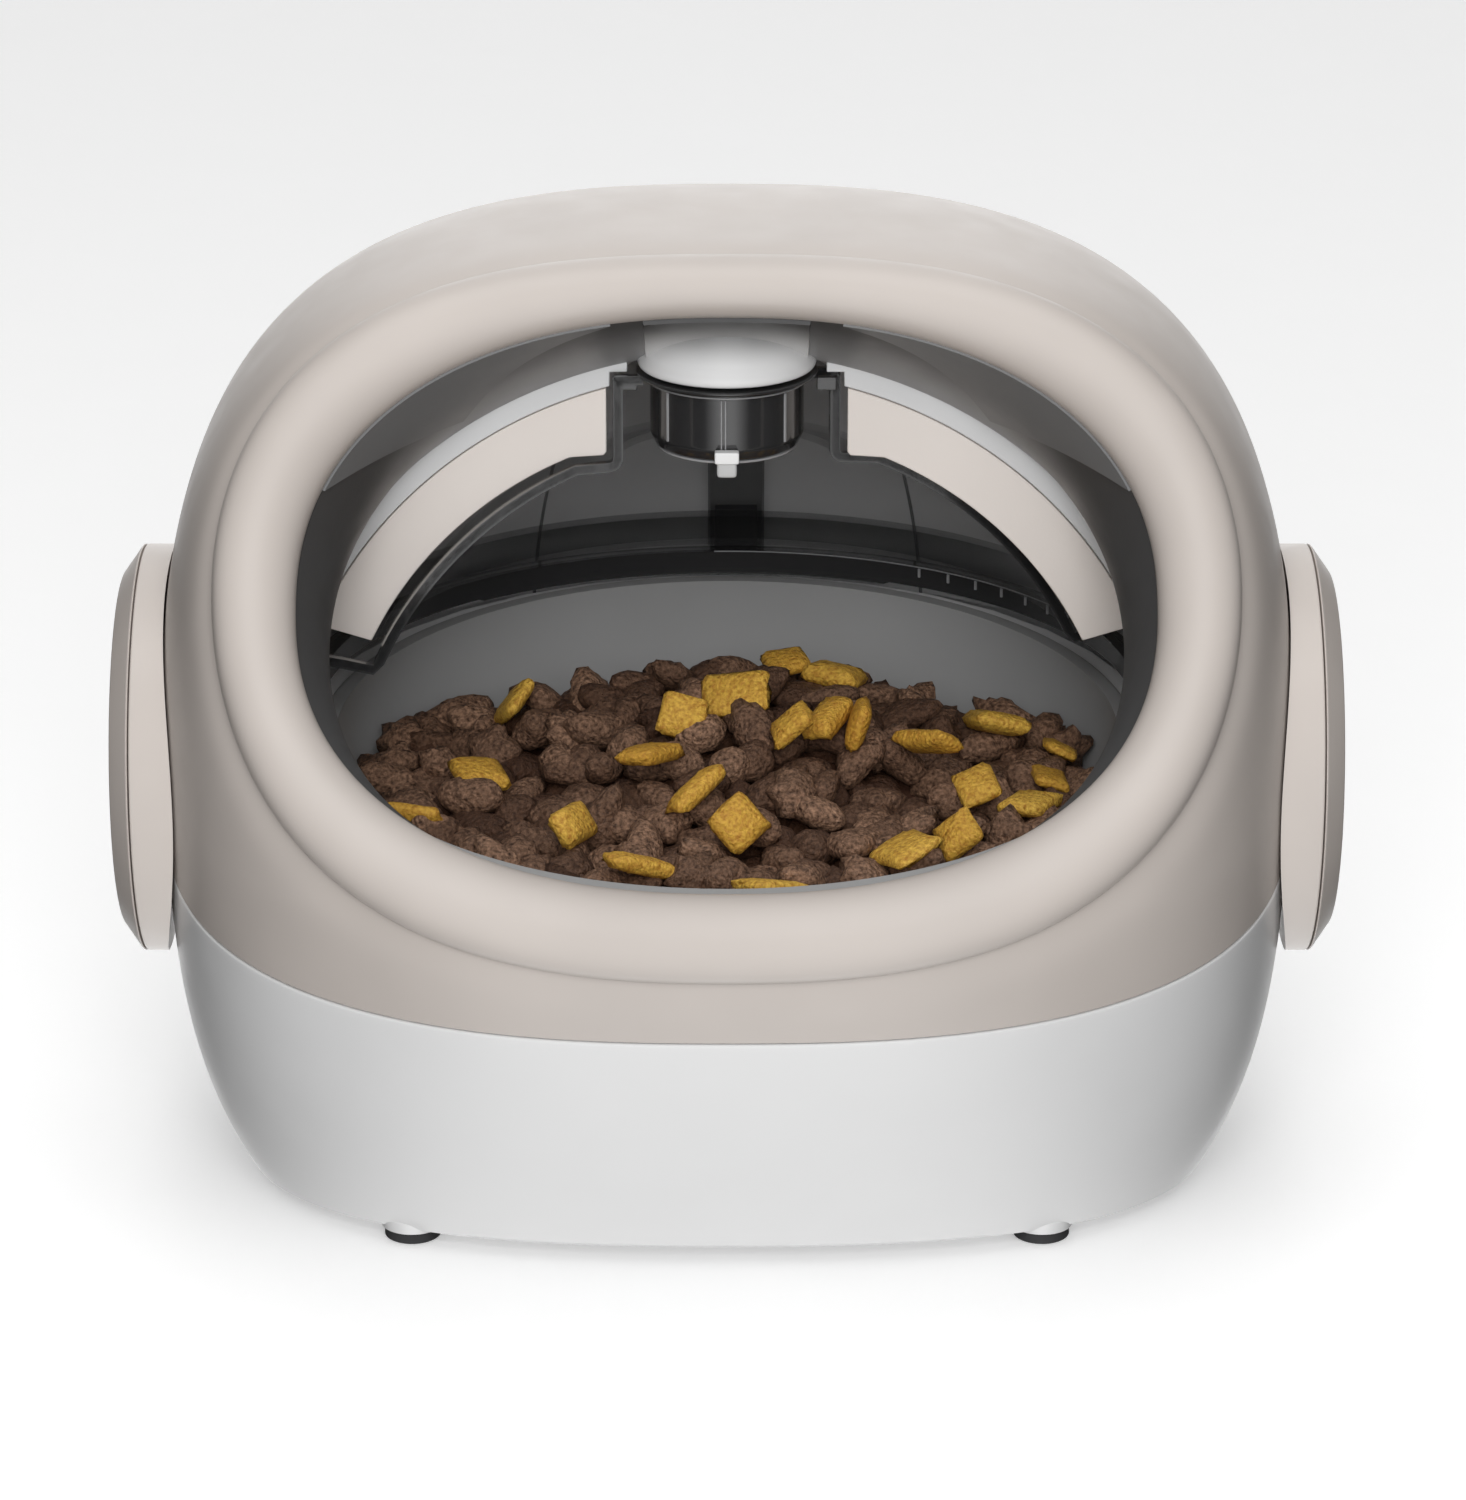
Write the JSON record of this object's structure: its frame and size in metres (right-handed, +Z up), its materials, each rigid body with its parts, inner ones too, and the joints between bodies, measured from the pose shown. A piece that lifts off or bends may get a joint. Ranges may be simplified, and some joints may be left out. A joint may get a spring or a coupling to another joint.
{
  "type": "automatic pet feeder",
  "caption": "Helmet-shaped tabletop pet feeder: white base, lift-off greige cover with a round-cornered front opening, dished bowl and a smoked half-dome shutter driven about a vertical hub.",
  "frame": {"origin": "on the floor under the middle of the whole object's box", "axes": "+Z up, front opening towards -Y, +X to the right as seen from the front"},
  "size_m": [0.323, 0.2733, 0.2621],
  "materials": {
    "greige_shell": "satin",
    "greige_arch": "matte",
    "trim_grey": "matte",
    "liner_grey": "satin",
    "white_shell": "satin",
    "white_hub": "satin",
    "smoked_clear": "clear smoked gloss",
    "bowl_grey": "matte",
    "foot_rubber": "matte",
    "steel": "brushed",
    "black_plastic": "matte",
    "gear_plastic": "natural acetal",
    "board_green": "solder mask",
    "copper_wire": "enamelled copper",
    "cell_sleeve": "printed sleeve, no text",
    "status_lens": "clear lens"
  },
  "bodies": {
    "base": {"base_shell": "white_shell", "base_plate": "white_shell", "battery_box": "black_plastic", "battery_1": "cell_sleeve", "battery_2": "cell_sleeve", "battery_3": "cell_sleeve", "battery_4": "cell_sleeve", "bowl_well": "white_shell", "well_post_1": "white_shell", "well_post_2": "white_shell", "well_post_3": "white_shell", "button_board": "board_green", "circuit_board": "board_green", "reader_module": "black_plastic", "status_light": "status_lens", "power_inlet": "black_plastic", "base_contact": "black_plastic", "foot_1": "foot_rubber", "foot_2": "foot_rubber", "foot_3": "foot_rubber", "foot_4": "foot_rubber", "plate_screw_1": "steel", "plate_screw_2": "steel", "plate_screw_3": "steel", "plate_screw_4": "steel"},
    "cover": {"upper_shell": "greige_shell", "front_rim": "greige_shell", "ear_left": "greige_shell", "ear_left_cap": "greige_shell", "ear_right": "greige_shell", "ear_right_cap": "greige_shell", "tunnel_liner": "liner_grey", "dome_liner": "liner_grey", "arch_left": "greige_arch", "arch_right": "greige_arch", "arch_trim_left": "trim_grey", "arch_trim_right": "trim_grey", "rear_post": "smoked_clear", "position_sensor": "black_plastic", "hub_housing": "white_hub", "antenna_coil": "copper_wire", "drive_motor": "steel", "motor_cradle": "black_plastic", "cover_contact": "black_plastic"},
    "shutter": {"shutter": "smoked_clear", "shutter_ring": "smoked_clear", "hub_cup": "smoked_clear", "hub_pin": "white_hub", "shutter_axle": "steel", "hub_gear": "gear_plastic"},
    "pinion": {"drive_pinion": "gear_plastic"},
    "bowl": {"bowl": "bowl_grey"},
    "battery_door": {"battery_door": "white_shell"},
    "power_button": {"power_button": "black_plastic"},
    "pairing_button": {"pairing_button": "black_plastic"}
  },
  "joints": [
    {"name": "cover_lift", "type": "slide", "parent": "base", "child": "cover", "axis": [0, 0, 1], "range_m": [0, 0.14]},
    {"name": "shutter_turn", "type": "hinge", "parent": "cover", "child": "shutter", "pos_m": [0, 0, 0.21], "axis": [0, 0, 1], "range_deg": [-8, 172]},
    {"name": "pinion_spin", "type": "hinge", "parent": "cover", "child": "pinion", "pos_m": [0, 0.0332, 0.249], "axis": [0, 0, 1], "range_deg": [-780, 40]},
    {"name": "bowl_lift", "type": "slide", "parent": "base", "child": "bowl", "axis": [0, 0, 1], "range_m": [0, 0.06]},
    {"name": "battery_door_slide", "type": "slide", "parent": "base", "child": "battery_door", "axis": [0, 1, 0], "range_m": [0, 0.055]},
    {"name": "power_button_press", "type": "slide", "parent": "base", "child": "power_button", "axis": [0, -1, 0], "range_m": [0, 0.0012], "stiffness_N_per_m": 800},
    {"name": "pairing_button_press", "type": "slide", "parent": "base", "child": "pairing_button", "axis": [0, -1, 0], "range_m": [0, 0.0012], "stiffness_N_per_m": 800}
  ],
  "couplings": [
    {"joint": "pinion_spin", "follows": "shutter_turn", "ratio": -4.5},
    {"joint": "bowl_lift", "follows": "cover_lift", "ratio": 0.4}
  ]
}
